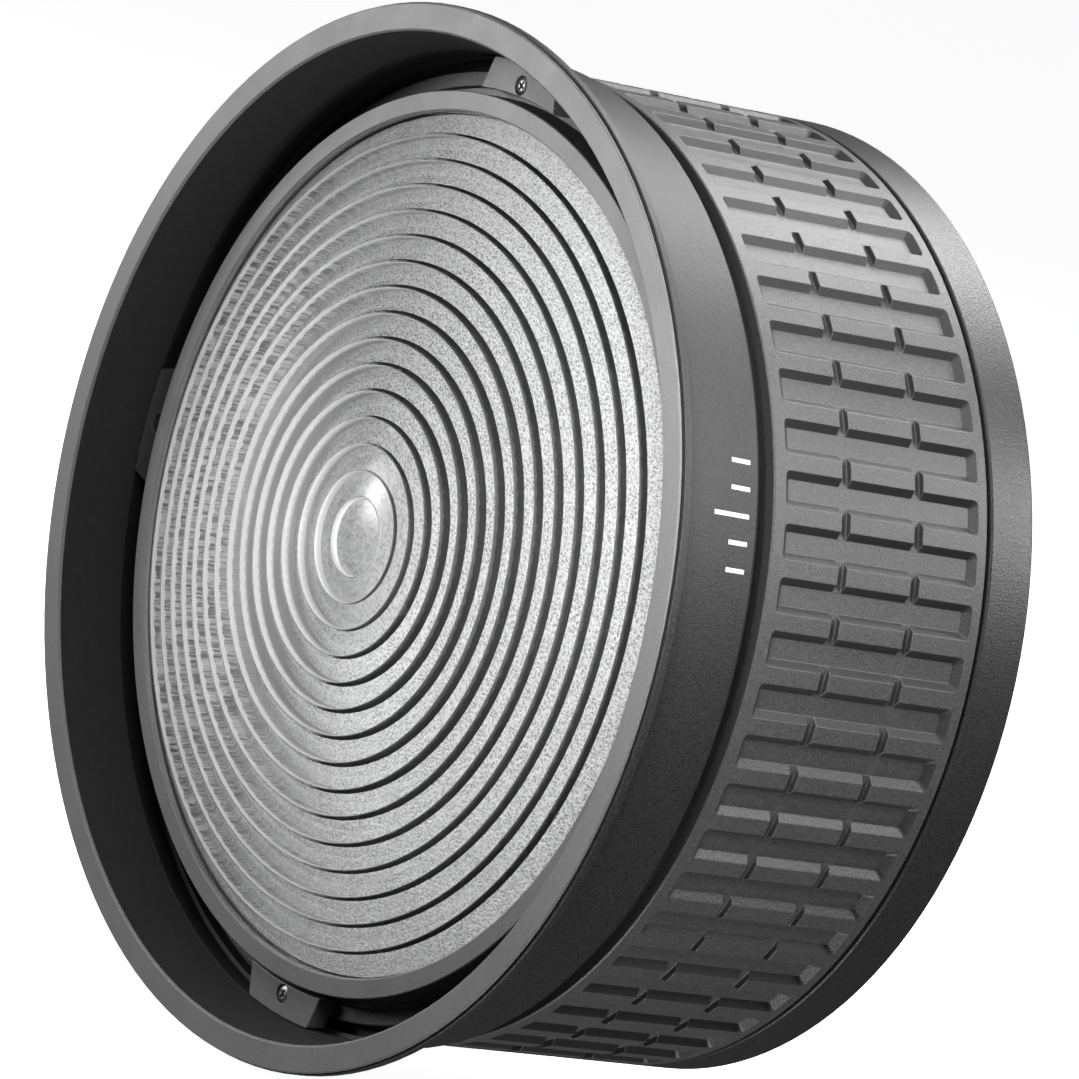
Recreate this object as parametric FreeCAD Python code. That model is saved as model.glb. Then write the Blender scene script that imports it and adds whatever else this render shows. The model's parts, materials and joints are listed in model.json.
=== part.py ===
import FreeCAD, Part
import math
import os

os.makedirs("parts", exist_ok=True)
V = FreeCAD.Vector

# Frame: millimetres, optical axis along +Y, lens facing -Y, +Z up.
# The origin is the centre of the bayonet seating face at the rear.
# "depth" below is measured from the front rim face towards the rear.
# "angle" is measured from +Z towards +X, seen from the lens side.

# ---------------------------------------------------------------- driving sizes
SEAT_DEPTH = 148.0          # front rim face to bayonet seating face
RIM_R = 153.5               # front rim face, outer radius
RIM_IN_R = 145.5            # front rim face, inner radius
STRIP_R = 154.0             # rim side strip radius
BAND_REAR_R = 143.7         # plain band, radius at its rear edge
BAND_END = 36.9             # plain band, rear end depth
SHELF = 26.0                # depth of the shelf the stop tabs stand on
SHELF_R = 138.0
TAB_FRONT = 20.0            # front plane of the stop tabs
TAB_IN_R, TAB_OUT_R = 132.8, 142.3
TAB_HALF = 8.0              # half width of a tab at its inner edge, degrees
TAB_TAPER = 0.80            # outer edge width over inner edge width, as angles
TAB_SCREW_R = 136.0
GRIP_R = 141.5              # focus grip radius over the ribs
GRIP_FRONT, GRIP_REAR = 42.5, 119.8
POCKETS = 60                # grip pockets
POCKET_PHASE = 0.83         # angle of a pocket centre
POCKET_W = 10.2             # pocket width at the surface
POCKET_FRONT, POCKET_REAR = 46.7, 116.2
POCKET_FLOOR_R = 139.5
POCKET_RUN = 2.2            # horizontal run of the pocket walls
POCKET_CORNER = 1.6         # corner radius of a pocket at the surface
NOTCH_W = 3.2               # width of a rib notch
NOTCHES = (68.4, 94.6)      # rib notch centres
SLEEVE_IN_R, SLEEVE_OUT_R = 135.48, 137.6
SLEEVE_FRONT = 35.8
BARREL_IN_R, BARREL_OUT_R = 133.4, 135.4
BARREL_FRONT, BARREL_REAR = 30.5, 133.6
REAR_FRONT, REAR_REAR = 121.2, 136.6
FOCUS_RANGE = 115.0         # focus ring sweep, degrees
LEAD = 32.0                 # carriage travel per radian of focus ring
FOLLOWER_DEPTH = 46.6       # follower axis with the lens fully forward
FOLLOWER_ANGLES = (45.0, 165.0, 285.0)
TRAVEL = LEAD * math.radians(FOCUS_RANGE)
LENS_R = 127.0              # 254 mm lens blank
LENS_CLEAR_R = 125.1
FRAME_FRONT = 17.0
RING_FIRST, RING_PITCH, RING_N = 11.4, 7.57, 15
FLANGE_R = 76.0             # bayonet flange
SPIGOT_R, BORE_R = 49.2, 46.0
LUG_R = 54.4


# ---------------------------------------------------------------- helpers
def p(r, z):
    return V(r, z - SEAT_DEPTH, 0)


def rev(pts, a0=0.0, sweep=360.0):
    """Revolve a closed (radius, depth) outline about the optical axis."""
    edges = []
    n = len(pts)
    i = 0
    cur = pts[0]
    k = 1
    while k <= n:
        nxt = pts[k % n]
        if len(nxt) == 4:                      # arc through (r1,z1) to (r2,z2)
            edges.append(Part.Arc(p(*cur[-2:]), p(nxt[0], nxt[1]), p(nxt[2], nxt[3])).toShape())
        else:
            edges.append(Part.makeLine(p(*cur[-2:]), p(*nxt)))
        cur = nxt
        k += 1
    face = Part.Face(Part.Wire(edges))
    s = face.revolve(V(0, 0, 0), V(0, 1, 0), sweep)
    # the outline lies along +X, which is angle 90
    s.rotate(V(0, 0, 0), V(0, 1, 0), a0 - 90.0)
    return s


def at(angle, shape):
    """Turn a shape built at angle 0 (along +Z) to the given angle."""
    c = shape.copy()
    c.rotate(V(0, 0, 0), V(0, 1, 0), angle)
    return c


def axial_cyl(r, z0, z1, rad, angle=0.0):
    a = math.radians(angle)
    return Part.makeCylinder(rad, z1 - z0, V(r * math.sin(a), z0 - SEAT_DEPTH, r * math.cos(a)), V(0, 1, 0))


def radial_cyl(angle, z, r0, r1, rad, rad2=None):
    a = math.radians(angle)
    d = V(math.sin(a), 0, math.cos(a))
    base = d * r0 + V(0, z - SEAT_DEPTH, 0)
    if rad2 is None:
        return Part.makeCylinder(rad, r1 - r0, base, d)
    return Part.makeCone(rad, rad2, r1 - r0, base, d)


def box_at(angle, w, r0, r1, z0, z1):
    b = Part.makeBox(w, z1 - z0, r1 - r0, V(-w / 2.0, z0 - SEAT_DEPTH, r0))
    return at(angle, b)


def cross(w, span, depth, r, z_top, angle, out):
    """Cross recess cutter for a screw on an axis parallel to Y."""
    z0, z1 = (z_top - 0.5, z_top + depth) if out < 0 else (z_top - depth, z_top + 0.5)
    a = Part.makeBox(w, z1 - z0, span, V(-w / 2.0, z0 - SEAT_DEPTH, r - span / 2.0))
    b = Part.makeBox(span, z1 - z0, w, V(-span / 2.0, z0 - SEAT_DEPTH, r - w / 2.0))
    c = a.fuse(b)
    c.rotate(V(0, 0, r), V(0, 1, 0), 27.0)
    return at(angle, c)


def group(shapes):
    flat = []
    for s in shapes:
        flat.extend(s.Solids)
    return Part.makeCompound(flat)


def save(name, shape):
    if len(shape.Solids) == 1:
        shape = shape.Solids[0]
    shape.exportStep("parts/%s.step" % name)
    print(name, len(shape.Solids), round(shape.Volume / 1000.0, 2), shape.isValid())


# ---------------------------------------------------------------- front trim ring
front_ring = rev([(146.0, 0.0), (153.15, 0.0), (RIM_R, 0.35), (RIM_R, 0.6), (152.4, 0.65), (152.4, 0.95),
                  (150.0, 0.95), (150.0, 2.4), (148.0, 2.4), (148.0, 0.95), (145.6, 0.95), (RIM_IN_R, 0.75),
                  (RIM_IN_R, 0.5)])
save("front_ring", front_ring)

# ---------------------------------------------------------------- front housing
housing = rev([(145.75, 0.95), (148.0, 0.95), (148.0, 2.45), (150.0, 2.45), (150.0, 0.95), (152.3, 0.95),
               (152.3, 1.4), (153.75, 1.5), (STRIP_R, 1.75), (STRIP_R, 4.0), (153.7, 4.3), (149.2, 4.3),
               (147.1, 5.1, 146.3, 7.2),
               (143.72, 34.75), (143.5, 34.98), (142.2, 36.5), (141.75, BAND_END), (138.4, BAND_END), (138.4, 34.5),
               (BARREL_OUT_R, 34.5), (BARREL_OUT_R, BARREL_FRONT), (BARREL_IN_R, BARREL_FRONT),
               (BARREL_IN_R, SHELF + 0.3), (BARREL_IN_R + 0.3, SHELF), (SHELF_R - 0.3, SHELF),
               (SHELF_R, SHELF + 0.3), (SHELF_R, 30.5), (141.4, 30.5), (141.4, 26.8), (142.6, 26.4),
               (142.6, 20.6), (142.9, 20.0)])
# engraved index ticks in the band, filled with enamel
skin = rev([(143.2, 10.0), (146.3 - (10.0 - 7.2) * 2.58 / 27.55, 10.0), (143.72, 34.75), (143.2, 34.75)])
ticks = []
for ang, z0, z1 in ((65.0, 25.0, 32.0), (68.0, 25.0, 32.0), (71.0, 19.0, 32.0), (74.0, 25.0, 32.0), (77.0, 25.0, 32.0)):
    ticks.append(box_at(ang, 1.3, 143.35, 148.0, z0, z1).common(skin))
index_marks = group(ticks)
housing = housing.cut(index_marks)
tab_angles = (0.0, 90.0, 180.0, 270.0)
housing = housing.cut([axial_cyl(TAB_SCREW_R, SHELF - 0.2, 30.3, 1.45, a) for a in tab_angles])
save("front_housing", housing)
save("index_marks", index_marks)

# ---------------------------------------------------------------- stop tabs and their screws
tabs = []
for a in tab_angles:
    t = rev([(TAB_IN_R, TAB_FRONT), (TAB_OUT_R, TAB_FRONT), (TAB_OUT_R, SHELF), (TAB_IN_R, SHELF)],
            a - TAB_HALF, 2 * TAB_HALF)
    # the ends lean in, so that the tab is narrower where it meets the wall
    ti, to = math.radians(TAB_HALF), math.radians(TAB_HALF * TAB_TAPER)
    xi, zi = TAB_IN_R * math.sin(ti), TAB_IN_R * math.cos(ti)
    xo, zo = TAB_OUT_R * math.sin(to), TAB_OUT_R * math.cos(to)
    ux, uz = xo - xi, zo - zi
    keep = Part.makePolygon([V(xi - 0.5 * ux, 0, zi - 0.5 * uz), V(xo + 0.5 * ux, 0, zo + 0.5 * uz),
                             V(-xo - 0.5 * ux, 0, zo + 0.5 * uz), V(-xi + 0.5 * ux, 0, zi - 0.5 * uz),
                             V(xi - 0.5 * ux, 0, zi - 0.5 * uz)])
    keep = Part.Face(keep).extrude(V(0, 30, 0))
    keep.translate(V(0, TAB_FRONT - 10.0 - SEAT_DEPTH, 0))
    t = t.common(at(a, keep)).Solids[0]
    corner = [e for e in t.Edges if len(e.Vertexes) == 2 and e.Length < 6.01 and
              abs(e.Vertexes[0].Point.y - e.Vertexes[1].Point.y) > 5.9]
    outer = [e for e in corner if math.hypot(e.Vertexes[0].Point.x, e.Vertexes[0].Point.z) > 140]
    inner = [e for e in corner if math.hypot(e.Vertexes[0].Point.x, e.Vertexes[0].Point.z) < 140]
    t = t.makeFillet(1.4, outer)
    front = [e for e in t.Edges if all(abs(v.Point.y - (TAB_FRONT - SEAT_DEPTH)) < 1e-4 for v in e.Vertexes)]
    try:
        t2 = t.makeChamfer(0.22, front)
        if t2.isValid():
            t = t2
    except Exception:
        pass
    t = t.cut(axial_cyl(TAB_SCREW_R, TAB_FRONT - 1, TAB_FRONT + 1.7, 2.85, a))
    t = t.cut(axial_cyl(TAB_SCREW_R, TAB_FRONT, SHELF + 1, 1.6, a))
    tabs.append(t)
save("stop_tabs", group(tabs))


def head_screw(angle, r, z_top, head_r, head_h, shank_r, z_end, out, dome=0.35):
    """Domed cross-recess screw, head facing the side given by out (-1 front, +1 rear)."""
    y0 = z_top
    y1 = z_top - out * head_h
    pts = [V(0, y0 - SEAT_DEPTH + 0, r), V(0, y1 - SEAT_DEPTH, r)]
    prof = [(0.0, y0), (head_r * 0.62, y0 - out * 0.06), (head_r, y0 - out * dome * 1.6), (head_r, y1),
            (shank_r, y1), (shank_r, z_end + out * 0.3), (shank_r - 0.3, z_end), (0.0, z_end)]
    w = Part.makePolygon([V(a, b - SEAT_DEPTH, 0) for a, b in prof] + [V(prof[0][0], prof[0][1] - SEAT_DEPTH, 0)])
    s = Part.Face(w).revolve(V(0, 0, 0), V(0, 1, 0), 360)
    s.translate(V(0, 0, r))
    s = at(angle, s)
    return s.cut(cross(head_r * 0.3, head_r * 1.25, min(head_h * 0.7, 1.4), r, z_top, angle, out))


save("tab_screws", group([head_screw(a, TAB_SCREW_R, 20.12, 2.45, 1.55, 1.45, 30.1, -1) for a in tab_angles]))

# ---------------------------------------------------------------- guide barrel with straight slots
barrel = rev([(BARREL_IN_R, BARREL_FRONT), (BARREL_OUT_R, BARREL_FRONT), (BARREL_OUT_R, BARREL_REAR),
              (BARREL_IN_R, BARREL_REAR)])
SLOT_W = 8.2
cut = []
for a in FOLLOWER_ANGLES:
    z0, z1 = FOLLOWER_DEPTH, FOLLOWER_DEPTH + TRAVEL
    s = box_at(a, SLOT_W, 131.0, 137.0, z0, z1)
    s = s.fuse([radial_cyl(a, z0, 131.0, 137.0, SLOT_W / 2), radial_cyl(a, z1, 131.0, 137.0, SLOT_W / 2)])
    cut.append(s)
barrel = barrel.cut(cut)
SET_ANGLES = (195.0, 255.0, 315.0)
save("guide_barrel", barrel)

# ---------------------------------------------------------------- focus sleeve with helical slots
sleeve = rev([(SLEEVE_IN_R, SLEEVE_FRONT), (137.3, SLEEVE_FRONT), (SLEEVE_OUT_R, SLEEVE_FRONT + 0.3),
              (SLEEVE_OUT_R, GRIP_REAR), (SLEEVE_IN_R, GRIP_REAR)])
CAM_W = 7.8


def cam_section(phi, q, w):
    a = math.radians(phi) - q
    n = V(math.sin(a), 0, math.cos(a))
    rm = 136.5
    t = V(-rm * math.cos(a), LEAD, rm * math.sin(a))
    t.normalize()
    b = n.cross(t)
    b.normalize()
    c = V(0, FOLLOWER_DEPTH + LEAD * q - SEAT_DEPTH, 0)
    q4 = [c + n * 134.0 - b * (w / 2), c + n * 139.0 - b * (w / 2), c + n * 139.0 + b * (w / 2),
          c + n * 134.0 + b * (w / 2)]
    return Part.makePolygon(q4 + [q4[0]])


qmax = math.radians(FOCUS_RANGE)
for phi in FOLLOWER_ANGLES:
    wires = [cam_section(phi, qmax * i / 22.0, CAM_W) for i in range(23)]
    slot = Part.makeLoft(wires, True, False)
    sleeve = sleeve.cut(slot)
    sleeve = sleeve.cut([radial_cyl(phi, FOLLOWER_DEPTH, 134.0, 139.0, CAM_W / 2),
                         radial_cyl(phi - FOCUS_RANGE, FOLLOWER_DEPTH + TRAVEL, 134.0, 139.0, CAM_W / 2)])
# screws that join sleeve and grip from the inside
grip_screws = []
grip_screw_at = [(a0 + 120.0 * i, z) for z, a0 in ((44.9, 105.0), (114.6, 75.83)) for i in range(3)]
for a, z in grip_screw_at:
    s = radial_cyl(a, z, 135.62, 136.7, 2.1, 1.2).fuse(radial_cyl(a, z, 136.65, 140.2, 1.2))
    grip_screws.append(s.removeSplitter().Solids[0])
sleeve = sleeve.cut([radial_cyl(a, z, 134.5, 135.65, 2.1) for a, z in grip_screw_at])
sleeve = sleeve.cut(grip_screws)
save("focus_sleeve", sleeve)

# ---------------------------------------------------------------- focus grip
grip = rev([(SLEEVE_OUT_R, GRIP_FRONT), (140.95, GRIP_FRONT), (141.25, 42.62), (GRIP_R, 43.05), (GRIP_R, 119.3),
            (141.3, 119.6), (140.9, GRIP_REAR), (SLEEVE_OUT_R, GRIP_REAR)])


def rounded(half_w, y0, y1, z, rad):
    """Rectangle outline with rounded corners, in the plane z."""
    c = rad * (1 - math.sqrt(0.5))
    e = []

    def q(x, y):
        return V(x, y - SEAT_DEPTH, z)

    e.append(Part.makeLine(q(-half_w + rad, y0), q(half_w - rad, y0)))
    e.append(Part.Arc(q(half_w - rad, y0), q(half_w - c, y0 + c), q(half_w, y0 + rad)).toShape())
    e.append(Part.makeLine(q(half_w, y0 + rad), q(half_w, y1 - rad)))
    e.append(Part.Arc(q(half_w, y1 - rad), q(half_w - c, y1 - c), q(half_w - rad, y1)).toShape())
    e.append(Part.makeLine(q(half_w - rad, y1), q(-half_w + rad, y1)))
    e.append(Part.Arc(q(-half_w + rad, y1), q(-half_w + c, y1 - c), q(-half_w, y1 - rad)).toShape())
    e.append(Part.makeLine(q(-half_w, y1 - rad), q(-half_w, y0 + rad)))
    e.append(Part.Arc(q(-half_w, y0 + rad), q(-half_w + c, y0 + c), q(-half_w + rad, y0)).toShape())
    return Part.Wire(e)


def pocket(angle):
    ext = 1.2
    top = GRIP_R + ext
    k = POCKET_RUN / (GRIP_R - POCKET_FLOOR_R)
    wt, wb = POCKET_W / 2 + k * ext, POCKET_W / 2 - POCKET_RUN
    f0, f1 = POCKET_FRONT - k * ext, POCKET_REAR + k * ext
    g0, g1 = POCKET_FRONT + POCKET_RUN, POCKET_REAR - POCKET_RUN
    lo = rounded(wb, g0, g1, POCKET_FLOOR_R, POCKET_CORNER * 0.35)
    hi = rounded(wt, f0, f1, top, POCKET_CORNER * (1 + 0.65 * ext / (GRIP_R - POCKET_FLOOR_R)))
    return at(angle, Part.makeLoft([lo, hi], True, True))


cutters = [pocket(POCKET_PHASE + 360.0 / POCKETS * i) for i in range(POCKETS)]
grip = grip.cut(cutters)
for zn in NOTCHES:
    h = NOTCH_W / 2
    grip = grip.cut(rev([(139.6, zn - h + 0.1), (139.6, zn + h - 0.1), (142.6, zn + h + 0.05), (142.6, zn - h - 0.05)]))
# arc channel in the rear face that limits the sweep
STOP_R, STOP_ANGLE = 139.3, 250.0
pad = math.degrees(1.25 / STOP_R)
chan = rev([(STOP_R - 1.1, 117.2), (STOP_R + 1.1, 117.2), (STOP_R + 1.1, 121.0), (STOP_R - 1.1, 121.0)],
           STOP_ANGLE - FOCUS_RANGE - pad, FOCUS_RANGE + 2 * pad)
grip = grip.cut(chan)
grip = grip.cut(grip_screws)
save("focus_grip", grip)
save("grip_screws", group(grip_screws))

# ---------------------------------------------------------------- glide rings and stop pin
save("front_glide_ring", rev([(135.5, 34.5), (137.9, 34.5), (137.9, 35.72), (135.5, 35.72)]))
save("rear_glide_ring", rev([(135.5, 119.88), (138.0, 119.88), (138.0, REAR_FRONT), (135.5, REAR_FRONT)]))
stop_pin = axial_cyl(STOP_R, 117.6, 125.0, 0.95, STOP_ANGLE)
save("stop_pin", stop_pin)

# ---------------------------------------------------------------- rear ring
COVER_SCREW_R = 131.0
cover_angles = [22.5 + 45.0 * i for i in range(8)]
rear_ring = rev([(BARREL_OUT_R, REAR_FRONT), (140.9, REAR_FRONT), (141.3, 121.4), (GRIP_R, 121.8),
                 (GRIP_R, 136.0), (141.3, 136.4), (140.9, REAR_REAR), (127.0, REAR_REAR), (127.0, BARREL_REAR),
                 (BARREL_OUT_R, BARREL_REAR)])
set_screws = []
for a in SET_ANGLES:
    s = radial_cyl(a, 128.4, BARREL_OUT_R + 0.05, 140.9, 1.5)
    hexa = Part.makePolygon([V(0.85 * math.cos(math.radians(60 * i)), 0.85 * math.sin(math.radians(60 * i)), 0)
                             for i in range(7)])
    h = Part.Face(hexa).extrude(V(0, 0, 2.0))
    h.translate(V(0, 128.4 - SEAT_DEPTH, 139.2))
    set_screws.append(s.cut(at(a, h)))
rear_ring = rear_ring.cut([radial_cyl(a, 128.4, 134.0, 143.0, 1.5) for a in SET_ANGLES])
rear_ring = rear_ring.cut(stop_pin)
rear_ring = rear_ring.cut([axial_cyl(COVER_SCREW_R, 133.0, 137.0, 1.45, a) for a in cover_angles])
save("rear_ring", rear_ring)
save("rear_ring_set_screws", group(set_screws))

# ---------------------------------------------------------------- rear cover
cover = rev([(124.0, REAR_REAR), (138.6, REAR_REAR), (139.0, 137.0), (139.0, 137.8), (134.2, 141.7),
             (133.6, 142.0), (52.0, 142.0), (52.0, 139.0), (124.0, 139.0)])
VENTS = 24
VENT_W = 3.6
vents = []
for i in range(VENTS):
    a = 360.0 / VENTS * (i + 0.5)
    v = box_at(a, VENT_W, 97.0, 115.0, 138.0, 143.0)
    v = v.fuse([axial_cyl(97.0, 138.0, 143.0, VENT_W / 2, a), axial_cyl(115.0, 138.0, 143.0, VENT_W / 2, a)])
    vents.append(v)
cover = cover.cut(vents)
cover = cover.cut([axial_cyl(COVER_SCREW_R, 139.6, 143.0, 3.0, a) for a in cover_angles])
cover = cover.cut([axial_cyl(COVER_SCREW_R, 136.0, 140.0, 1.6, a) for a in cover_angles])
MOUNT_SCREW_R = 63.5
mount_angles = [30.0 + 60.0 * i for i in range(6)]
cover = cover.cut([axial_cyl(MOUNT_SCREW_R, 138.0, 143.0, 2.0, a) for a in mount_angles])
vb_angles = [60.0 * i for i in range(6)]
eb_angles = [60.0 * i for i in range(6)]
VB_R, EB_R = 122.25, 59.5
cover = cover.cut([axial_cyl(VB_R, 138.5, 140.8, 0.7, a) for a in vb_angles])
cover = cover.cut([axial_cyl(EB_R, 138.5, 140.8, 0.9, a) for a in eb_angles])
save("rear_cover", cover)
save("cover_screws", group([head_screw(a, COVER_SCREW_R, 141.85, 2.75, 2.25, 1.45, 133.9, +1) for a in cover_angles]))

# ---------------------------------------------------------------- light baffles with rivets
vent_baffle = rev([(123.6, 139.0), (123.6, 138.2), (120.9, 138.2), (118.4, 134.6), (92.0, 134.6), (92.0, 135.4),
                   (118.0, 135.4), (120.2, 138.6), (120.2, 139.0)])
vent_baffle = vent_baffle.cut([axial_cyl(VB_R, 138.0, 139.5, 0.7, a) for a in vb_angles])
save("vent_baffle", vent_baffle)
entry_baffle = rev([(52.0, 139.0), (67.0, 139.0), (67.0, 137.8), (54.4, 137.8), (64.8, 119.0), (63.6, 118.5),
                    (52.0, 138.0)])
entry_baffle = entry_baffle.cut([axial_cyl(EB_R, 137.0, 139.5, 0.9, a) for a in eb_angles])
save("entry_baffle", entry_baffle)


def rivet(r, z_face, z_end, angle, head=1.6, shank=0.9):
    pr = [(0.0, z_face - 0.75), (head * 0.56, z_face - 0.65), (head * 0.94, z_face - 0.25), (head, z_face),
          (shank, z_face), (shank, z_end), (0.0, z_end)]
    w = Part.makePolygon([V(a, b - SEAT_DEPTH, 0) for a, b in pr] + [V(pr[0][0], pr[0][1] - SEAT_DEPTH, 0)])
    s = Part.Face(w).revolve(V(0, 0, 0), V(0, 1, 0), 360)
    s.translate(V(0, 0, r))
    return at(angle, s)


# the flange of the dished baffle is only 2.7 wide, so its rivet heads are smaller
save("vent_baffle_rivets", group([rivet(VB_R, 138.2, 140.6, a, 1.28, 0.7) for a in vb_angles]))
save("entry_baffle_rivets", group([rivet(EB_R, 137.8, 140.6, a) for a in eb_angles]))

# ---------------------------------------------------------------- bayonet mount ring
# the turned spigot with its lugs is pressed into the flange and staked behind a shoulder
spigot = rev([(BORE_R, 139.2), (51.95, 139.2), (51.95, 143.0), (SPIGOT_R, 143.0), (SPIGOT_R, 159.5), (48.7, 160.0),
              (BORE_R + 0.5, 160.0), (BORE_R, 159.5)])
for i in range(3):
    lug = rev([(48.0, 156.0), (LUG_R - 0.4, 156.0), (LUG_R, 156.4), (LUG_R, 159.4), (LUG_R - 0.5, 160.0), (48.0, 160.0)],
              120.0 * i - 17.0, 34.0)
    spigot = spigot.fuse(lug)
save("bayonet_spigot", spigot.removeSplitter())
mount = rev([(51.95, 142.0), (75.5, 142.0), (FLANGE_R, 142.5), (FLANGE_R, 147.5), (75.5, 148.0), (SPIGOT_R, 148.0),
             (SPIGOT_R, 143.0), (51.95, 143.0)])
mount_screws = []
for a in mount_angles:
    cone = Part.makeCone(2.0, 3.9, 1.9, V(0, 146.0 - SEAT_DEPTH, MOUNT_SCREW_R), V(0, 1, 0))
    s = cone.fuse(Part.makeCylinder(2.0, 6.7, V(0, 139.3 - SEAT_DEPTH, MOUNT_SCREW_R), V(0, 1, 0))).removeSplitter()
    s = at(a, s)
    s = s.cut(cross(1.0, 4.2, 1.5, MOUNT_SCREW_R, 147.9, a, +1))
    mount_screws.append(s)
    seat = Part.makeCone(2.0, 4.0, 2.0, V(0, 146.0 - SEAT_DEPTH, MOUNT_SCREW_R), V(0, 1, 0))
    mount = mount.cut(at(a, seat))
    mount = mount.cut(axial_cyl(MOUNT_SCREW_R, 141.0, 147.0, 2.0, a))
mount = mount.cut(axial_cyl(57.0, 144.6, 149.0, 2.6, 0.0))
save("mount_flange", mount)
save("mount_screws", group(mount_screws))

# ---------------------------------------------------------------- lens
ring_r = [RING_FIRST + RING_PITCH * k for k in range(RING_N)]
ridge_z = [3.7, 3.2, 2.8, 2.6, 2.75, 3.2, 3.9, 4.7, 5.6, 6.8, 8.1, 9.6, 11.1, 12.6, 14.1]
slope = [0.27, 0.40, 0.52, 0.68, 0.73, 0.76, 0.78, 0.79, 0.79, 0.79, 0.79, 0.79, 0.78, 0.77, 0.0]
R_EYE = (11.25 ** 2 + 1.1 ** 2) / (2 * 1.1)
front = [(0.0, 4.5), (0.6, 4.5), (5.625, 4.5 + R_EYE - math.sqrt(R_EYE ** 2 - 5.625 ** 2), 11.25, 5.6)]
for k in range(RING_N):
    front.append((ring_r[k] + 0.12, ridge_z[k] + 0.12))
    front.append((ring_r[k] + 0.3, ridge_z[k]))
    r1 = ring_r[k] + 0.7
    front.append((r1, ridge_z[k] + 0.18))
    if k < RING_N - 1:
        r2 = ring_r[k + 1] - 0.15
        zv = ridge_z[k] + 0.18 + slope[k] * (r2 - r1)
        rm = 0.5 * (r1 + r2)
        front.append((rm, ridge_z[k] + 0.18 + slope[k] * (rm - r1) - 0.12, r2, zv))
    else:
        front.append((124.6, 19.0))
R_BACK = (122.4 ** 2 + 11.7 ** 2) / (2 * 11.7)
back = [(LENS_R, 19.0), (LENS_R, 23.6), (126.6, 24.0), (122.4, 24.0),
        (61.0, 12.3 + R_BACK - math.sqrt(R_BACK ** 2 - 61.0 ** 2), 0.6, 12.3), (0.0, 12.3)]
lens = rev(front + back)
save("fresnel_lens", lens)

# ---------------------------------------------------------------- lens frame (carriage)
frame = rev([(LENS_CLEAR_R, 17.45), (125.5, 17.0), (130.7, 17.0), (131.0, 17.3), (131.0, 26.4), (133.0, 26.6),
             (133.0, 27.6), (131.6, 27.6), (131.6, 29.4), (133.0, 29.4), (133.0, 30.6), (131.0, 30.9),
             (131.0, 52.1), (133.0, 52.4), (133.0, 53.4), (131.6, 53.4), (131.6, 55.2), (133.0, 55.2),
             (133.0, 56.4), (132.6, 56.8), (128.0, 56.8), (128.0, 24.25), (127.15, 24.25), (127.15, 18.5),
             (LENS_CLEAR_R, 18.5)])
for a in FOLLOWER_ANGLES:
    frame = frame.fuse(radial_cyl(a, FOLLOWER_DEPTH, 129.5, 132.8, 5.2).cut(
        Part.makeCylinder(129.8, 60, V(0, -140, 0), V(0, 1, 0))))
    frame = frame.cut(radial_cyl(a, FOLLOWER_DEPTH, 120.0, 140.0, 2.5))
save("lens_frame", frame)
save("carriage_glides", group([rev([(131.6, z), (133.34, z), (133.34, z + 1.8), (131.6, z + 1.8)]) for z in (27.6, 53.4)]))
save("lens_gasket", rev([(125.2, 18.5), (127.1, 18.5), (127.1, 19.0), (125.2, 19.0)]))
retainer = rev([(122.6, 24.0), (127.1, 24.0), (127.1, 24.25), (128.0, 24.25), (128.0, 28.0), (123.0, 28.0),
                (122.6, 27.6)])
retainer = retainer.cut([box_at(45 + 90 * i, 4.0, 121.0, 126.5, 26.0, 29.0) for i in range(4)])
save("lens_retaining_ring", retainer)

# ---------------------------------------------------------------- followers
studs, bushes, rollers = [], [], []
for a in FOLLOWER_ANGLES:
    s = radial_cyl(a, FOLLOWER_DEPTH, 126.4, 127.75, 4.2).cut(Part.makeBox(0.1, 0.1, 0.1, V(500, 500, 500)))
    s = s.fuse(radial_cyl(a, FOLLOWER_DEPTH, 127.6, 137.3, 2.5)).removeSplitter()
    slot = box_at(a, 1.2, 126.0, 127.2, FOLLOWER_DEPTH - 5, FOLLOWER_DEPTH + 5)
    studs.append(s.cut(slot))
    b = radial_cyl(a, FOLLOWER_DEPTH, 132.85, 135.42, 4.0).cut(radial_cyl(a, FOLLOWER_DEPTH, 132.0, 136.0, 2.5))
    bushes.append(b)
    r = radial_cyl(a, FOLLOWER_DEPTH, 135.5, 137.3, 3.8).cut(radial_cyl(a, FOLLOWER_DEPTH, 135.0, 138.0, 2.5))
    rollers.append(r)
save("follower_studs", group(studs))
save("guide_bushings", group(bushes))
save("cam_bushings", group(rollers))
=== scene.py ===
import json
import math

import bpy
from mathutils import Matrix, Vector


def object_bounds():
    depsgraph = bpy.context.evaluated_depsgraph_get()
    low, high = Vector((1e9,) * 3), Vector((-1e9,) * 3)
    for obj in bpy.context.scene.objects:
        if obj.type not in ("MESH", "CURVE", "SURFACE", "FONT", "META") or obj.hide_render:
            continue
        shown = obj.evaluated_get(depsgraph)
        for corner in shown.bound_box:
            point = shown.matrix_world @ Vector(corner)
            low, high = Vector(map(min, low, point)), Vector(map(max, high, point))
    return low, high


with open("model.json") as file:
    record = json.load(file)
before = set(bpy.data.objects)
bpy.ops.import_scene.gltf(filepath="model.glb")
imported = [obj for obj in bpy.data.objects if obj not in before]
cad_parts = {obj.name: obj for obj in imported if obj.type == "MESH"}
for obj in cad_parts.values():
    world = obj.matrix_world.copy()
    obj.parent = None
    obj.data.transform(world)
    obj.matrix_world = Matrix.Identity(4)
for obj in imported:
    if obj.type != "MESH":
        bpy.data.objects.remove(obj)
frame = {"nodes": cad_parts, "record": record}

scene = bpy.context.scene
nodes = frame["nodes"]


def plain(b):
    return [[float(c) for c in p] for p in b]


cad_box = plain(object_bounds())

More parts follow.
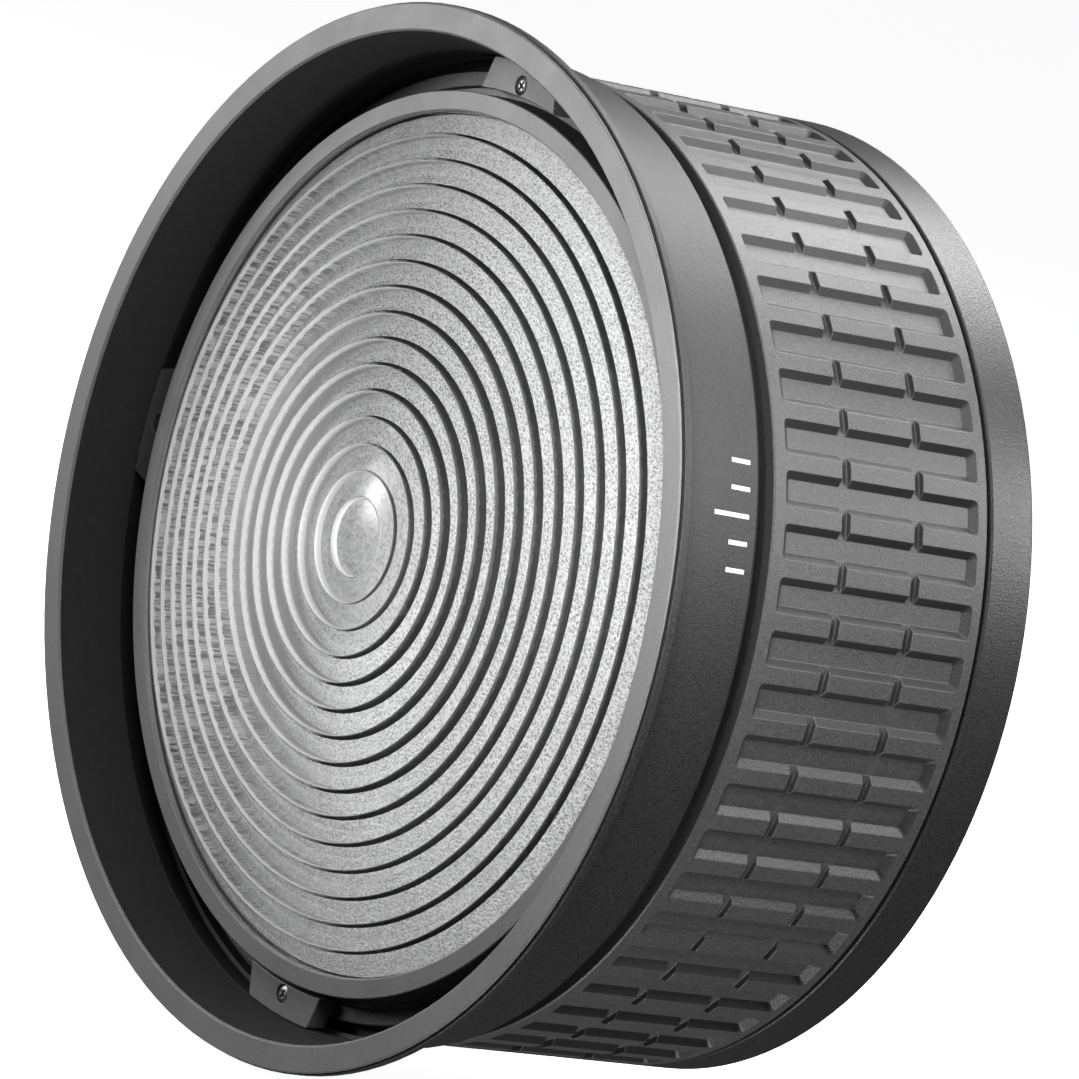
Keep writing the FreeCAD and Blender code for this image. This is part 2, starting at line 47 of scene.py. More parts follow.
# ------------------------------------------------------------------ camera
# Fitted pinhole camera, in its own axes: x right, y down, z forward, millimetres.
FOCAL_PX, FRAME_PX, SEAT_DEPTH, ROLL = 7400.0, 1079.0, 148.0, math.radians(15.5)
C0 = Vector((-55.718, -1.210, 2108.517))
A = Vector((0.79258081, 0.1217878, 0.59748087)).normalized()
UP = Vector((0.0, -1.0, 0.0))
UP = (UP - A * UP.dot(A)).normalized()
RT = A.cross(UP)
ZP = UP * math.cos(ROLL) + RT * math.sin(ROLL)
XP = RT * math.cos(ROLL) - UP * math.sin(ROLL)


def turn(d):
    """A direction in camera axes, in the part's axes."""
    return Vector((XP.dot(d), A.dot(d), ZP.dot(d)))


def to_part(p):
    """A point in camera axes, millimetres, in the part's axes, metres."""
    v = turn(Vector(p) - C0)
    return Vector((v.x, v.y - SEAT_DEPTH, v.z)) / 1000.0


cam_data = bpy.data.cameras.new("photo_camera")
cam = bpy.data.objects.new("photo_camera", cam_data)
scene.collection.objects.link(cam)
scene.camera = cam
cam_data.sensor_width = 36.0
cam_data.lens = FOCAL_PX / FRAME_PX * 36.0
cam_data.clip_end = 100.0
right, up, back = turn(Vector((1, 0, 0))), turn(Vector((0, -1, 0))), turn(Vector((0, 0, -1)))
m = Matrix((right, up, back)).transposed().to_4x4()
m.translation = to_part((0, 0, 0))
cam.matrix_world = m

# ------------------------------------------------------------------ studio
TARGET = Vector((0.0, -0.09, 0.0))


def soft_light(name, direction, distance, width, height, radiance, colour=(1, 1, 1), target=TARGET):
    """A rectangular softbox; direction is from the object, in camera axes."""
    data = bpy.data.lights.new(name, "AREA")
    data.shape = "RECTANGLE"
    data.size, data.size_y = width, height
    data.energy = radiance * math.pi * width * height
    data.color = colour
    o = bpy.data.objects.new(name, data)
    scene.collection.objects.link(o)
    d = turn(Vector(direction).normalized())
    o.location = target + d * distance
    vertical = turn(Vector((0, -1, 0)))
    z = d.normalized()
    x = vertical.cross(z).normalized()
    y = z.cross(x)
    mm = Matrix((x, y, z)).transposed().to_4x4()
    mm.translation = o.location
    o.matrix_world = mm
    o.visible_camera = False
    return o


soft_light("left_up_softbox", (-0.90, -0.45, 0.10), 1.2, 0.5, 0.5, 12.8)
soft_light("front_up_softbox", (0.05, -0.60, -0.80), 1.2, 0.6, 0.5, 5.2)
soft_light("right_softbox", (0.96, -0.20, -0.17), 1.5, 0.4, 0.6, 17.5)
soft_light("top_back_softbox", (0.60, -0.70, 0.38), 1.5, 0.7, 0.6, 13.7)
soft_light("top_softbox", (0.10, -0.98, -0.15), 1.3, 0.8, 0.6, 2.3)
soft_light("top_right_softbox", (0.55, -0.75, -0.35), 1.3, 0.6, 0.5, 3.6)
soft_light("table_bounce", (-0.20, 0.95, -0.20), 1.4, 0.7, 0.5, 9.2)

# some softboxes are flagged off the glass, and others off everything but the glass
glass_only = bpy.data.collections.new("glass_only")
glass_only.objects.link(nodes["fresnel_lens"])
nodes["fresnel_lens"].visible_shadow = False     # glass lets the lamps through
not_glass = bpy.data.collections.new("not_glass")
not_glass.objects.link(nodes["fresnel_lens"])
not_glass.collection_objects[0].light_linking.link_state = "EXCLUDE"
for o in (bpy.data.objects["left_up_softbox"],
          soft_light("near_right_panel", RT * 0.24 - A * 0.09 + UP * 0.04, 0.26, 0.05, 0.20, 13.0, target=Vector((0.0, -0.143, 0.0)))):
    o.light_linking.receiver_collection = not_glass
for o in (soft_light("left_wall_softbox", (-0.90, -0.08, -0.22), 1.3, 1.1, 1.5, 0.4),
          soft_light("left_up_softbox_soft", (-0.90, -0.45, 0.10), 1.2, 0.5, 0.5, 2.6),
          soft_light("front_top_softbox", (0.08, -0.52, -0.85), 1.3, 1.0, 0.8, 0.3),
          soft_light("near_right_strip", RT * 0.24 - A * 0.09 + UP * 0.02, 0.257, 0.05, 0.20, 74.0, target=Vector((0.0, -0.143, 0.0)))):
    o.light_linking.receiver_collection = glass_only

# the back of the object has its own large, even panels
rear_only = bpy.data.collections.new("rear_only")
for name in ("rear_cover", "cover_screws", "mount_flange", "bayonet_spigot", "mount_screws", "vent_baffle", "entry_baffle"):
    rear_only.objects.link(nodes[name])
for o in (soft_light("rear_panel", (0.80, -0.20, 0.56), 1.2, 1.6, 1.3, 1.5),
          soft_light("rear_side_panel", (0.20, -0.55, 0.80), 1.2, 1.2, 1.2, 1.1)):
    o.light_linking.receiver_collection = rear_only

# the highlight over the middle of the lens: reflection only
glow = soft_light("lens_highlight", (-0.90, -0.40, 0.12), 1.2, 0.30, 0.30, 14.0)
glow.light_linking.receiver_collection = glass_only
glow.visible_diffuse = False
glow.visible_transmission = False

world = bpy.data.worlds.new("studio")
scene.world = world
world.use_nodes = True
wt = world.node_tree
wt.nodes.clear()
wo = wt.nodes.new("ShaderNodeOutputWorld")
wb = wt.nodes.new("ShaderNodeBackground")
wb.inputs["Color"].default_value = (1.0, 1.0, 1.0, 1.0)
wp = wt.nodes.new("ShaderNodeLightPath")
wm = wt.nodes.new("ShaderNodeMapRange")
wm.inputs["To Min"].default_value = 0.024
wm.inputs["To Max"].default_value = 1.0
wt.links.new(wp.outputs["Is Camera Ray"], wm.inputs["Value"])
wt.links.new(wm.outputs["Result"], wb.inputs["Strength"])
wt.links.new(wb.outputs[0], wo.inputs[0])

scene.cycles.max_bounces = 9
scene.cycles.transmission_bounces = 9
scene.cycles.glossy_bounces = 4
scene.cycles.diffuse_bounces = 2
scene.view_settings.view_transform = "Standard"
scene.view_settings.look = "None"


# ------------------------------------------------------------------ node helpers
class Graph:
    """A few short names for building a material's nodes."""

    def __init__(self, name):
        self.mat = bpy.data.materials.new(name)
        self.mat.use_nodes = True
        self.nt = self.mat.node_tree
        self.nt.nodes.clear()
        self.out = self.nt.nodes.new("ShaderNodeOutputMaterial")
        tc = self.nt.nodes.new("ShaderNodeTexCoord")
        self.obj, self.nrm = tc.outputs["Object"], tc.outputs["Normal"]
        sep = self.nt.nodes.new("ShaderNodeSeparateXYZ")
        self.link(self.obj, sep.inputs[0])
        self.x, self.y, self.z = sep.outputs[0], sep.outputs[1], sep.outputs[2]

    def link(self, a, b):
        self.nt.links.new(a, b)

    def put(self, socket, value):
        if isinstance(value, (int, float)):
            socket.default_value = value
        elif isinstance(value, tuple):
            socket.default_value = value if len(socket.default_value) == len(value) else value + (1.0,)
        else:
            self.link(value, socket)

    def math(self, op, a, b=0.0, c=0.0, clamp=False):
        n = self.nt.nodes.new("ShaderNodeMath")
        n.operation = op
        n.use_clamp = clamp
        for s, v in zip(n.inputs, (a, b, c)):
            self.put(s, v)
        return n.outputs[0]

    def ramp(self, v, lo, hi, a=0.0, b=1.0, smooth=True):
        n = self.nt.nodes.new("ShaderNodeMapRange")
        n.interpolation_type = "SMOOTHSTEP" if smooth else "LINEAR"
        self.put(n.inputs["Value"], v)
        for k, q in zip(("From Min", "From Max", "To Min", "To Max"), (lo, hi, a, b)):
            n.inputs[k].default_value = q
        return n.outputs["Result"]

    def noise(self, scale, detail=2.0, rough=0.5, vec=None, distortion=0.0):
        n = self.nt.nodes.new("ShaderNodeTexNoise")
        n.inputs["Scale"].default_value = scale
        n.inputs["Detail"].default_value = detail
        n.inputs["Roughness"].default_value = rough
        n.inputs["Distortion"].default_value = distortion
        self.link(vec or self.obj, n.inputs["Vector"])
        return n.outputs["Fac"]

    def cells(self, scale, vec=None, feature="F1"):
        n = self.nt.nodes.new("ShaderNodeTexVoronoi")
        n.feature = feature
        n.inputs["Scale"].default_value = scale
        self.link(vec or self.obj, n.inputs["Vector"])
        return n.outputs["Distance"]

    def vec(self, x, y, z):
        n = self.nt.nodes.new("ShaderNodeCombineXYZ")
        for s, v in zip(n.inputs, (x, y, z)):
            self.put(s, v)
        return n.outputs[0]

    def radius(self):
        return self.math("SQRT", self.math("ADD", self.math("MULTIPLY", self.x, self.x), self.math("MULTIPLY", self.z, self.z)))

    def angle(self):
        return self.math("ARCTAN2", self.x, self.z)

    def turned(self, along=0.02, across=1.0):
        """Coordinates stretched round the part's axis, as turning marks are."""
        return self.vec(self.math("MULTIPLY", self.angle(), along), self.math("MULTIPLY", self.radius(), across),
                        self.math("MULTIPLY", self.y, across))

    def colour(self, fac, a, b):
        n = self.nt.nodes.new("ShaderNodeMix")
        n.data_type = "RGBA"
        n.clamp_factor = True
        self.put(n.inputs[0], fac)
        self.put(n.inputs[6], a)
        self.put(n.inputs[7], b)
        return n.outputs[2]

    def stops(self, v, span, pairs):
        """Straight-line interpolation through (input, output) pairs, inputs from 0 to span."""
        lo, hi = min(p[1] for p in pairs), max(p[1] for p in pairs)
        n = self.nt.nodes.new("ShaderNodeValToRGB")
        e = n.color_ramp.elements
        for i, (a, b) in enumerate(pairs):
            s = e[i] if i < 2 else e.new(1.0)
            s.position = a / span
            s.color = grey((b - lo) / (hi - lo))
        self.link(self.math("DIVIDE", v, span), n.inputs[0])
        return self.math("MULTIPLY_ADD", n.outputs[0], hi - lo, lo)

    def bevel(self, radius, samples=4):
        n = self.nt.nodes.new("ShaderNodeBevel")
        n.samples = samples
        n.inputs["Radius"].default_value = radius
        return n.outputs[0]

    def edge(self, bevelled, lo=0.02, hi=0.25):
        """1 along sharp edges, from how far the rounded normal leans off the true one."""
        g = self.nt.nodes.new("ShaderNodeNewGeometry")
        d = self.nt.nodes.new("ShaderNodeVectorMath")
        d.operation = "DOT_PRODUCT"
        self.link(bevelled, d.inputs[0])
        self.link(g.outputs["Normal"], d.inputs[1])
        return self.ramp(self.math("SUBTRACT", 1.0, d.outputs["Value"]), lo, hi)

    def bump(self, height, distance, strength=1.0, normal=None):
        n = self.nt.nodes.new("ShaderNodeBump")
        n.inputs["Strength"].default_value = strength
        n.inputs["Distance"].default_value = distance
        self.link(height, n.inputs["Height"])
        if normal is not None:
            self.link(normal, n.inputs["Normal"])
        return n.outputs[0]

    def principled(self, **kw):
        n = self.nt.nodes.new("ShaderNodeBsdfPrincipled")
        names = {"color": "Base Color", "rough": "Roughness", "metal": "Metallic", "ior": "IOR", "spec": "Specular IOR Level",
                 "trans": "Transmission Weight", "coat": "Coat Weight", "coat_rough": "Coat Roughness", "normal": "Normal",
                 "sheen": "Sheen Weight", "sss": "Subsurface Weight", "emit": "Emission Color", "emit_s": "Emission Strength"}
        for k, v in kw.items():
            self.put(n.inputs[names[k]], v)
        self.link(n.outputs[0], self.out.inputs["Surface"])
        return n


def grey(v, warm=0.0):
    return (v * (1 + warm), v, v * (1 - warm), 1.0)


# ------------------------------------------------------------------ finishes
def sand_paint(name, value, rough=0.5, grain=1.0, spec=0.5, edge_wear_and_highlight_gain=1.5, bevel=0.00035, inner=None, speck=0.35, metal=0.0, painted_wall_shade=None):
    """Fine sand-blasted coating: pitted grain, mottled tone, edges lightened partly as rubbed wear and partly as a
    painted highlight. inner=(radius, value) is the darker tone inside a shell.
    """
    g = Graph(name)
    fine = g.noise(2300, 2.0, 0.6)
    mid = g.noise(820, 3.0, 0.6)
    pits = g.cells(1500)
    cloud = g.noise(14, 3.0, 0.55)
    wide = g.noise(5.0, 2.0, 0.5)
    bev = g.bevel(bevel, 5)
    edge = g.edge(bev)
    height = g.math("ADD", g.math("MULTIPLY", fine, 0.6), g.math("ADD", g.math("MULTIPLY", mid, 0.5), g.math("MULTIPLY", pits, 0.45)))
    tone = g.math("ADD", g.math("MULTIPLY", g.ramp(fine, 0.30, 0.70, -speck, speck), 1.0), g.ramp(cloud, 0.3, 0.7, -0.05, 0.05))
    tone = g.math("ADD", tone, g.ramp(mid, 0.35, 0.65, -speck * 0.35, speck * 0.35))
    base = g.colour(g.math("ADD", 0.5, g.math("MULTIPLY", tone, 0.5), clamp=True), grey(0.0), grey(value * 2.0))
    if inner:
        r0, dark = inner
        # the mask takes only what faces the axis or lies deeper than the outer band, so the band keeps its own tone
        facing = g.nt.nodes.new("ShaderNodeVectorMath")
        facing.operation = "DOT_PRODUCT"
        g.link(g.nrm, facing.inputs[0])
        g.link(g.vec(g.math("DIVIDE", g.x, g.radius()), 0.0, g.math("DIVIDE", g.z, g.radius())), facing.inputs[1])
        inward = g.math("MAXIMUM", g.ramp(facing.outputs["Value"], -0.3, -0.2, 1.0, 0.0), g.ramp(g.radius(), 0.1426, 0.1429, 1.0, 0.0))
        inside = g.math("MULTIPLY", g.ramp(g.radius(), r0 - 0.0006, r0, 1.0, 0.0), g.ramp(g.radius(), 0.1381, 0.1385))
        inside = g.math("MULTIPLY", inside, inward)
        base = g.colour(inside, base, g.colour(g.ramp(mid, 0.3, 0.7), grey(dark * 0.75), grey(dark * 1.25)))
    if painted_wall_shade:
        # painted shade in the pocket walls: darker where the surface turns away from the radial direction
        out = g.nt.nodes.new("ShaderNodeVectorMath")
        out.operation = "DOT_PRODUCT"
        g.link(g.nrm, out.inputs[0])
        g.link(g.vec(g.math("DIVIDE", g.x, g.radius()), 0.0, g.math("DIVIDE", g.z, g.radius())), out.inputs[1])
        base = g.colour(g.ramp(out.outputs["Value"], 0.75, 0.92, 1.0, 0.0), base, grey(value * painted_wall_shade))
    # edges lightened: partly rubbed wear, partly a painted highlight along the edges
    edge_wear_and_highlight = g.math("MULTIPLY", edge, g.ramp(g.noise(260, 3.0, 0.65), 0.25, 0.6, 0.55, 1.0))
    base = g.colour(g.math("MULTIPLY", edge_wear_and_highlight, 0.75), base, grey(min(0.9, value * edge_wear_and_highlight_gain)))
    r = g.math("ADD", g.ramp(wide, 0.3, 0.7, rough - 0.04, rough + 0.04), g.ramp(fine, 0.2, 0.8, -0.07, 0.07))
    r = g.math("SUBTRACT", r, g.math("MULTIPLY", edge_wear_and_highlight, 0.12), clamp=True)
    if inner:
        r = g.math("ADD", r, g.math("MULTIPLY", inside, 0.28))
    g.principled(color=base, rough=r, spec=spec, metal=metal, normal=g.bump(height, 0.00012 * grain, 0.8, bev))
    return g.mat


def satin_grey(name, value, rough=0.42, spec=0.5, edge_wear_and_highlight_gain=1.7, bevel=0.0003, lines=0.5, inner=None, outer=None):
    """Turned and satin painted grey: faint turning lines under a soft grain."""
    g = Graph(name)
    fine = g.noise(2600, 2.0, 0.6)
    turned = g.noise(1400, 2.0, 0.5, g.turned(0.02, 1.0))
    cloud = g.noise(11, 3.0, 0.5)
    smudge = g.noise(42, 4.0, 0.6, distortion=0.6)
    bev = g.bevel(bevel, 5)
    edge = g.edge(bev)
    tone = g.math("ADD", g.ramp(fine, 0.3, 0.7, -0.16, 0.16), g.ramp(turned, 0.3, 0.7, -0.06 * lines, 0.06 * lines))
    tone = g.math("ADD", tone, g.ramp(cloud, 0.3, 0.7, -0.05, 0.05))
    base = g.colour(g.math("ADD", 0.5, g.math("MULTIPLY", tone, 0.5), clamp=True), grey(0.0), grey(value * 2.0))
    if inner:
        base = g.colour(g.ramp(g.radius(), inner[0] - 0.0004, inner[0], 1.0, 0.0), base, grey(inner[1]))
    if outer:
        base = g.colour(g.ramp(g.radius(), outer[0], outer[0] + 0.0002), base, grey(outer[1]))
    # edges lightened: partly rubbed wear, partly a painted highlight along the edges
    edge_wear_and_highlight = g.math("MULTIPLY", edge, g.ramp(g.noise(240, 3.0, 0.65), 0.2, 0.6, 0.6, 1.0))
    base = g.colour(g.math("MULTIPLY", edge_wear_and_highlight, 0.8), base, grey(min(0.9, value * edge_wear_and_highlight_gain)))
    r = g.math("ADD", g.ramp(smudge, 0.3, 0.7, rough - 0.05, rough + 0.05), g.ramp(fine, 0.2, 0.8, -0.05, 0.05))
    height = g.math("ADD", g.math("MULTIPLY", fine, 0.5), g.math("MULTIPLY", turned, 0.5 * lines))
    g.principled(color=base, rough=r, spec=spec, normal=g.bump(height, 0.00006, 0.8, bev))
    return g.mat


def anodised(name, value, rough=0.38, lines=1.0):
    """Black anodised turned aluminium."""
    g = Graph(name)
    turned = g.noise(1700, 3.0, 0.55, g.turned(0.015, 1.0))
    fine = g.noise(3000, 1.0, 0.5)
    cloud = g.noise(18, 3.0, 0.5)
    bev = g.bevel(0.0003, 4)
    edge = g.edge(bev)
    base = g.colour(g.ramp(turned, 0.3, 0.7), grey(value * 0.7), grey(value * 1.3, -0.02))
    base = g.colour(g.math("MULTIPLY", edge, 0.6), base, grey(value * 3.0 + 0.03))
    r = g.math("ADD", g.ramp(cloud, 0.3, 0.7, rough - 0.06, rough + 0.06), g.ramp(fine, 0.2, 0.8, -0.05, 0.05))
    g.principled(color=base, rough=r, spec=0.5, metal=0.0,
                 normal=g.bump(g.math("ADD", g.math("MULTIPLY", turned, 0.7 * lines), g.math("MULTIPLY", fine, 0.3)), 0.00004, 0.8, bev))
    return g.mat


def bare_metal(name, value, rough=0.3, lines=1.0, warm=0.0, stain=0.25):
    """Turned bare or clear-anodised metal with fine lathe lines and light staining."""
    g = Graph(name)
    turned = g.noise(2200, 3.0, 0.6, g.turned(0.01, 1.0))
    fine = g.noise(2600, 2.0, 0.5)
    cloud = g.noise(30, 4.0, 0.6, distortion=0.5)
    scratch = g.noise(900, 2.0, 0.7, g.vec(g.math("MULTIPLY", g.x, 0.06), g.y, g.z))
    bev = g.bevel(0.00025, 4)
    edge = g.edge(bev)
    base = g.colour(g.ramp(cloud, 0.25, 0.75), grey(value * (1 - stain), warm), grey(value, warm))
    base = g.colour(g.math("MULTIPLY", edge, 0.5), base, grey(min(1.0, value * 1.25), warm))
    r = g.math("ADD", g.ramp(cloud, 0.3, 0.7, rough + 0.06, rough - 0.04), g.ramp(scratch, 0.55, 0.75, 0.0, 0.12))
    height = g.math("ADD", g.math("MULTIPLY", turned, 0.6 * lines), g.math("MULTIPLY", fine, 0.4))
    g.principled(color=base, rough=r, metal=1.0, normal=g.bump(height, 0.00004, 0.8, bev))
    return g.mat


def plastic(name, a, b, rough=0.45, sss=0.0):
    g = Graph(name)
    fine = g.noise(1900, 3.0, 0.6)
    cloud = g.noise(60, 3.0, 0.5)
    bev = g.bevel(0.0002, 4)
    r = g.ramp(cloud, 0.3, 0.7, rough - 0.08, rough + 0.08)
    g.principled(color=g.colour(g.ramp(cloud, 0.3, 0.7), a, b), rough=r, sss=sss, normal=g.bump(fine, 0.00004, 0.6, bev))
    return g.mat


def rubber(name):
    g = Graph(name)
    fine = g.noise(1600, 4.0, 0.65)
    dust = g.noise(90, 4.0, 0.6)
    g.principled(color=g.colour(g.ramp(dust, 0.45, 0.75), grey(0.018), grey(0.035)), rough=g.ramp(fine, 0.2, 0.8, 0.6, 0.8),
                 normal=g.bump(fine, 0.00006, 0.7))
    return g.mat


def heat_black(name):
    """Heat-resistant matt black on pressed sheet, a little browner where it runs hottest."""
    g = Graph(name)
    fine = g.noise(1800, 3.0, 0.65)
    cloud = g.noise(24, 4.0, 0.6, distortion=0.8)
    hot = g.ramp(g.radius(), 0.05, 0.075, 1.0, 0.0)
    bev = g.bevel(0.00025, 4)
    base = g.colour(g.ramp(cloud, 0.3, 0.7), grey(0.014), grey(0.024))
    base = g.colour(g.math("MULTIPLY", hot, g.ramp(cloud, 0.35, 0.7)), base, (0.040, 0.030, 0.026, 1.0))
    base = g.colour(g.math("MULTIPLY", g.edge(bev), 0.5), base, grey(0.09))
    g.principled(color=base, rough=g.ramp(fine, 0.2, 0.8, 0.62, 0.82), normal=g.bump(fine, 0.00008, 0.8, bev))
    return g.mat


def enamel(name):
    g = Graph(name)
    fine = g.noise(2400, 2.0, 0.6)
    chip = g.noise(700, 3.0, 0.6)
    g.principled(color=g.colour(g.ramp(chip, 0.25, 0.5), grey(0.45), grey(0.80, 0.01)), rough=g.ramp(fine, 0.2, 0.8, 0.42, 0.6),
                 normal=g.bump(fine, 0.00005, 0.7))
    return g.mat


def black_oxide(name):
    g = Graph(name)
    fine = g.noise(2600, 2.0, 0.6)
    rub = g.noise(300, 4.0, 0.65)
    bev = g.bevel(0.00015, 4)
    edge = g.edge(bev)
    base = g.colour(g.ramp(rub, 0.35, 0.7), grey(0.05), grey(0.11, 0.03))
    base = g.colour(g.math("MULTIPLY", edge, 0.7), base, grey(0.42))
    g.principled(color=base, metal=0.7, rough=g.ramp(rub, 0.3, 0.7, 0.34, 0.5), normal=g.bump(fine, 0.00004, 0.7, bev))
    return g.mat


def pressed_glass(name):
    """Pressed glass: clear fire-polished facets, matt drawn risers, and a stippled back that scatters light."""
    g = Graph(name)
    sep = g.nt.nodes.new("ShaderNodeSeparateXYZ")
    g.link(g.nrm, sep.inputs[0])
    ny = sep.outputs[1]
    rad = g.radius()
    # the back is a shallow arc: how far this point lies from it, in metres
    arc = g.math("SUBTRACT", BACK_TOP + BACK_R, g.math("SQRT", g.math("SUBTRACT", BACK_R * BACK_R, g.math("MULTIPLY", rad, rad))))
    off = g.math("ABSOLUTE", g.math("SUBTRACT", g.y, arc))
    back = g.ramp(off, 0.0003, 0.0007, 1.0, 0.0)
    riser = g.math("MULTIPLY", g.ramp(g.math("ABSOLUTE", ny), 0.35, 0.55, 1.0, 0.0), g.ramp(rad, 0.010, 0.0125))
    eye = g.ramp(rad, 0.018, 0.034, 1.0, 0.0)
    grain = g.noise(1700, 2.0, 0.7)
    cells = g.cells(1100)
    cloud = g.noise(16, 3.0, 0.5)
    streaks = g.noise(1.0, 3.0, 0.6, g.vec(g.math("MULTIPLY", g.angle(), 130.0), g.math("MULTIPLY", g.y, 120.0),
                                          g.math("MULTIPLY", rad, 90.0)))
    outer = g.ramp(rad, 0.055, 0.075)
    stipple = g.math("ADD", g.math("MULTIPLY", grain, 0.8), g.math("MULTIPLY", cells, 0.6))
    height = g.math("ADD", g.math("MULTIPLY", stipple, back), g.math("MULTIPLY", streaks, g.math("MULTIPLY", g.math("MULTIPLY", riser, outer), 1.8)))
    frosted = g.colour(g.ramp(g.math("ADD", g.math("MULTIPLY", grain, 0.7), g.math("MULTIPLY", cells, 0.35)), 0.31, 0.63), grey(0.014), grey(0.215))
    # land of each ring, a lighter matt band painted all the way round as a ridge highlight: the pitch starts at a
    # ridge, and risers run back from it
    turn_no = g.math("FRACT", g.math("DIVIDE", g.math("SUBTRACT", rad, 0.0114), 0.00757))
    painted_ridge_highlight = g.math("MULTIPLY", g.math("MULTIPLY", g.ramp(turn_no, 0.042, 0.062, 1.0, 0.0), g.ramp(rad, 0.0110, 0.0114)),
                   g.math("SUBTRACT", 1.0, back))
    depth = g.math("SUBTRACT", g.y, g.stops(rad, 0.13, [(0.0114 + 0.00757 * k, z) for k, z in enumerate(RIDGES)]))
    # painted shade: on the inner rings a riser turns darker grey more than about 2 mm below its ridge, deep in the
    # groove
    painted_groove_shade = g.math("MULTIPLY", g.ramp(depth, 0.0019, 0.0027), g.math("SUBTRACT", 1.0, outer))
    drawn = g.colour(g.ramp(streaks, 0.38, 0.62), grey(0.05), grey(0.25))
    drawn = g.colour(outer, grey(0.24), drawn)
    drawn = g.colour(painted_groove_shade, drawn, grey(0.10))
    within = g.nt.nodes.new("ShaderNodeNewGeometry").outputs["Backfacing"]
    # painted shade: a riser seen from inside the glass takes a near-black colour
    drawn = g.colour(within, drawn, grey(0.008))
    clear = g.colour(g.ramp(cloud, 0.3, 0.7), (0.93, 0.945, 0.945, 1.0), (0.97, 0.975, 0.97, 1.0))
    base = g.colour(riser, g.colour(back, clear, frosted), drawn)
    # painted ridge highlight: the land of each ring takes a light grey
    base = g.colour(painted_ridge_highlight, base, grey(0.36))
    # a riser seen from inside the glass also turns more matt, as part of its painted shade
    matt = g.math("MULTIPLY", riser, g.math("ADD", DRAWN, g.math("MULTIPLY", within, 0.35)))
    matt = g.math("MAXIMUM", matt, g.math("MULTIPLY", painted_ridge_highlight, 0.34))
    trans = g.math("SUBTRACT", 1.0, g.math("ADD", g.math("MULTIPLY", back, FROST), matt), clamp=True)
    rough = g.math("ADD", g.math("MULTIPLY", back, 0.42), g.ramp(cloud, 0.3, 0.7, 0.015, 0.035))
    rough = g.math("ADD", rough, g.math("ADD", g.math("MULTIPLY", riser, 0.30), g.math("MULTIPLY", eye, 0.21)))
    glass = g.principled(color=base, rough=rough, ior=1.5, trans=trans, normal=g.bump(height, 0.00022, 0.75))
    # painted shade: a riser seen from inside the glass is mixed toward a near-black diffuse
    painted_inside_shade = g.nt.nodes.new("ShaderNodeBsdfDiffuse")
    painted_inside_shade.inputs["Color"].default_value = grey(0.008)
    mix = g.nt.nodes.new("ShaderNodeMixShader")
    g.link(g.math("MULTIPLY", g.math("MULTIPLY", riser, within), 0.93), mix.inputs[0])
    g.link(glass.outputs[0], mix.inputs[1])
    g.link(painted_inside_shade.outputs[0], mix.inputs[2])
    g.link(mix.outputs[0], g.out.inputs["Surface"])
    return g.mat


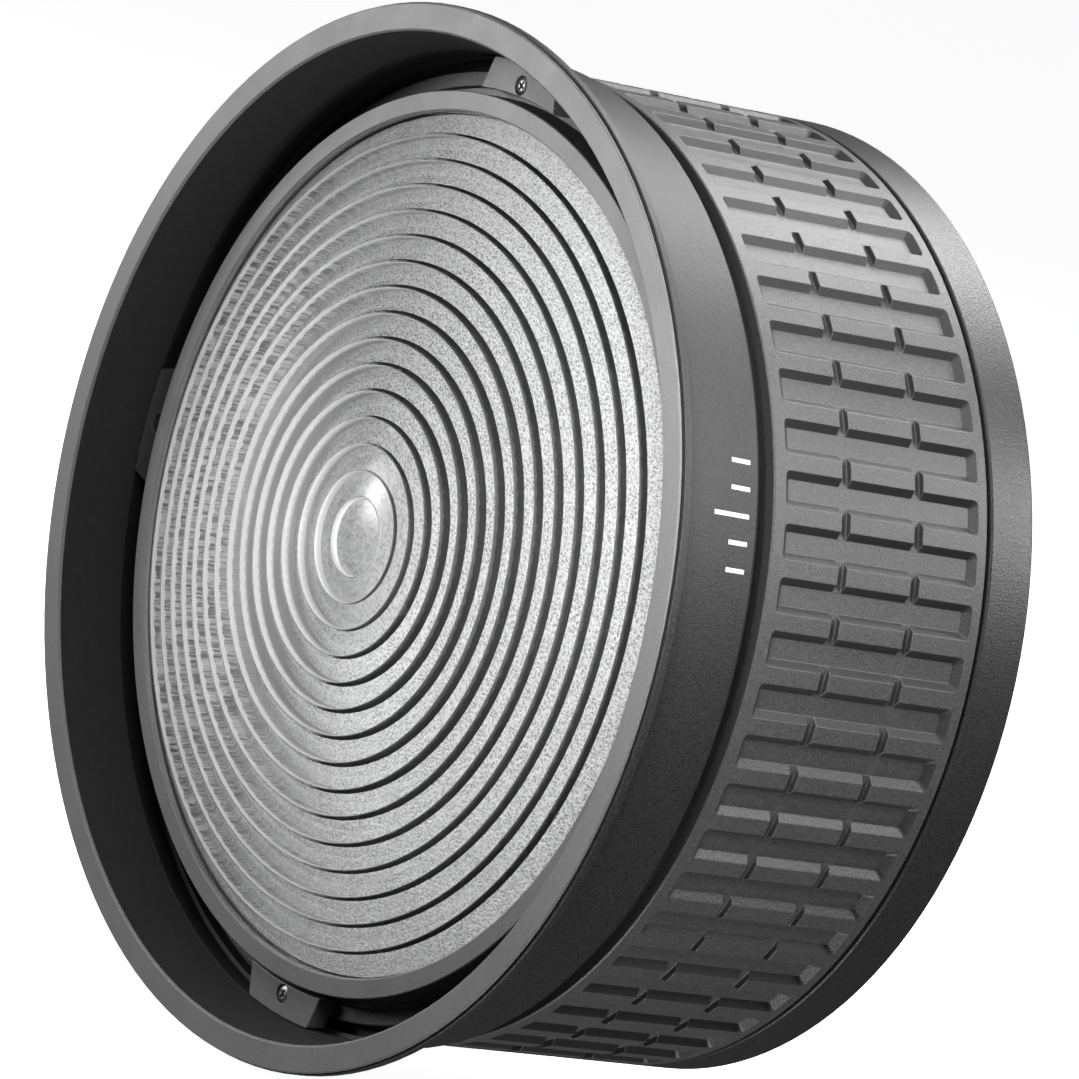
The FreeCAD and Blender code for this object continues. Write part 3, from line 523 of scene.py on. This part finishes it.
RIDGES = [v / 1000.0 - 0.148 for v in (3.7, 3.2, 2.8, 2.6, 2.75, 3.2, 3.9, 4.7, 5.6, 6.8, 8.1, 9.6, 11.1, 12.6, 14.1)]
BACK_R, BACK_TOP = 0.6460, 0.0123 - 0.148       # the lens back: arc radius and where it crosses the axis
FROST, DRAWN = 0.62, 0.55                       # how much of the light scatters at the back and at the risers
FINISH = {
    "front_ring": satin_grey("ring_satin_grey", 0.145, rough=0.42, edge_wear_and_highlight_gain=3.4),
    "front_housing": sand_paint("housing_sand_black", 0.028, rough=0.50, speck=0.45, inner=(0.1462, 0.004), edge_wear_and_highlight_gain=3.2),
    "index_marks": enamel("mark_enamel"),
    "stop_tabs": satin_grey("tab_satin_grey", 0.10, rough=0.45),
    "screws": bare_metal("zinc_steel", 0.30, rough=0.42, lines=0.3),
    "black_screws": black_oxide("black_oxide_steel"),
    "guide_barrel": anodised("barrel_black_anodised", 0.018),
    "glide": plastic("ptfe_white", (0.74, 0.73, 0.70, 1.0), (0.80, 0.79, 0.77, 1.0), 0.5),
    "stop_pin": bare_metal("pin_ground_steel", 0.6, rough=0.25),
    "rear_ring": sand_paint("rear_ring_sand_black", 0.034, rough=0.40, edge_wear_and_highlight_gain=3.0),
    "rear_cover": sand_paint("rear_cover_sand_black", 0.030, rough=0.5, edge_wear_and_highlight_gain=3.0),
    "baffle": heat_black("baffle_heat_black"),
    "rivets": bare_metal("rivet_aluminium", 0.75, rough=0.35, lines=0.4),
    "mount_ring": bare_metal("bayonet_turned_aluminium", 0.70, rough=0.38, lines=0.5, stain=0.12),
    # the grip's pocket walls are darkened as painted shade, and its edges lightened partly as wear and partly as
    # painted highlight
    "focus_grip": sand_paint("grip_sand_grey", 0.088, rough=0.45, edge_wear_and_highlight_gain=3.8, speck=0.30, bevel=0.0005, painted_wall_shade=0.45),
    "focus_sleeve": anodised("sleeve_black_anodised", 0.020),
    "fresnel_lens": pressed_glass("lens_pressed_glass"),
    "lens_frame": satin_grey("carriage_satin_grey", 0.13, rough=0.40, edge_wear_and_highlight_gain=2.6, inner=(0.12505, 0.02), outer=(0.1309, 0.010)),
    "gasket": rubber("gasket_silicone"),
    "lens_retaining_ring": anodised("retainer_black_anodised", 0.022),
    "carriage_glides": plastic("carriage_ptfe", (0.72, 0.71, 0.68, 1.0), (0.78, 0.77, 0.75, 1.0), 0.5),
    "follower_studs": bare_metal("stud_turned_steel", 0.55, rough=0.28),
    "bushings": plastic("acetal_bush", (0.62, 0.60, 0.53, 1.0), (0.70, 0.68, 0.61, 1.0), 0.38),
}
slot_of = {s["node"]: s["material_slot"] for s in frame["record"]["subparts"]}
for name, o in nodes.items():
    mat = FINISH[slot_of[name]]
    for s in o.material_slots:
        s.material = mat

# ------------------------------------------------------------------ floor
low = min(p[2] for p in cad_box)
half = 22.0
fm = bpy.data.meshes.new("floor")
fm.from_pydata([(-half, -half, low - 0.0004), (half, -half, low - 0.0004), (half, half, low - 0.0004), (-half, half, low - 0.0004)],
               [], [(0, 1, 2, 3)])
floor = bpy.data.objects.new("floor", fm)
scene.collection.objects.link(floor)
g = Graph("floor_white")
paper = g.noise(60, 4.0, 0.6)
g.principled(color=g.colour(g.ramp(paper, 0.3, 0.7), grey(0.84), grey(0.88)), rough=0.9, spec=0.2, emit=(1.0, 1.0, 1.0, 1.0), emit_s=0.93,
             normal=g.bump(paper, 0.0002, 0.3))
floor.data.materials.append(g.mat)
floor.visible_diffuse = False
floor.visible_glossy = False
floor.visible_shadow = False
